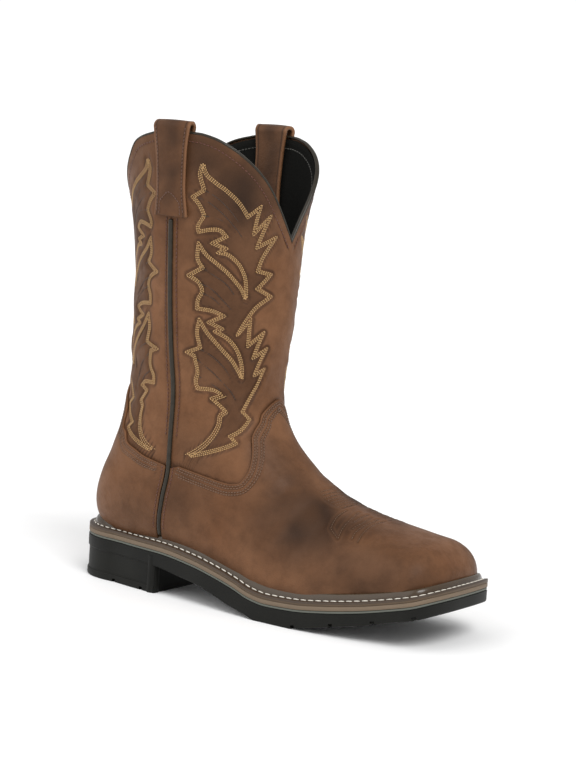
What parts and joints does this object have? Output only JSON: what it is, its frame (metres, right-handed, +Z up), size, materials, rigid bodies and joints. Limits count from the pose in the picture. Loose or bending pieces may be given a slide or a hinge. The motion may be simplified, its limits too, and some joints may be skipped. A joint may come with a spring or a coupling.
{
  "type": "western work boot",
  "caption": "Right pull-on western work boot with stitched scalloped shaft, pull straps, broad square toe, storm welt and heeled rubber sole.",
  "frame": {"origin": "centre of the bounding box's floor: under the middle of the sole's length and width", "axes": "+X towards the toe, +Y towards the inner (medial) side, -Y the outer side, +Z up the shaft"},
  "size_m": [0.306, 0.1278, 0.3271],
  "materials": {
    "leather_brown": "oiled pull-up, satin",
    "leather_dark": "dark edge binding and seam cord",
    "welt_brown": "storm welt, satin",
    "midsole_taupe": "trimmed edge, matt",
    "midlayer_grey": "thin layer, matt",
    "rubber_black": "moulded, matt",
    "insole_dark": "matt footbed"
  },
  "bodies": {
    "root": {"upper": "leather_brown", "vamp": "leather_brown", "counter": "leather_brown", "side_piping_lateral": "leather_dark", "side_piping_medial": "leather_dark", "collar_binding": "leather_dark", "pull_strap_lateral": "leather_brown", "pull_strap_medial": "leather_brown", "welt": "welt_brown", "midsole": "midsole_taupe", "mid_layer": "midlayer_grey", "outsole": "rubber_black", "insole": "insole_dark"}
  },
  "joints": []
}
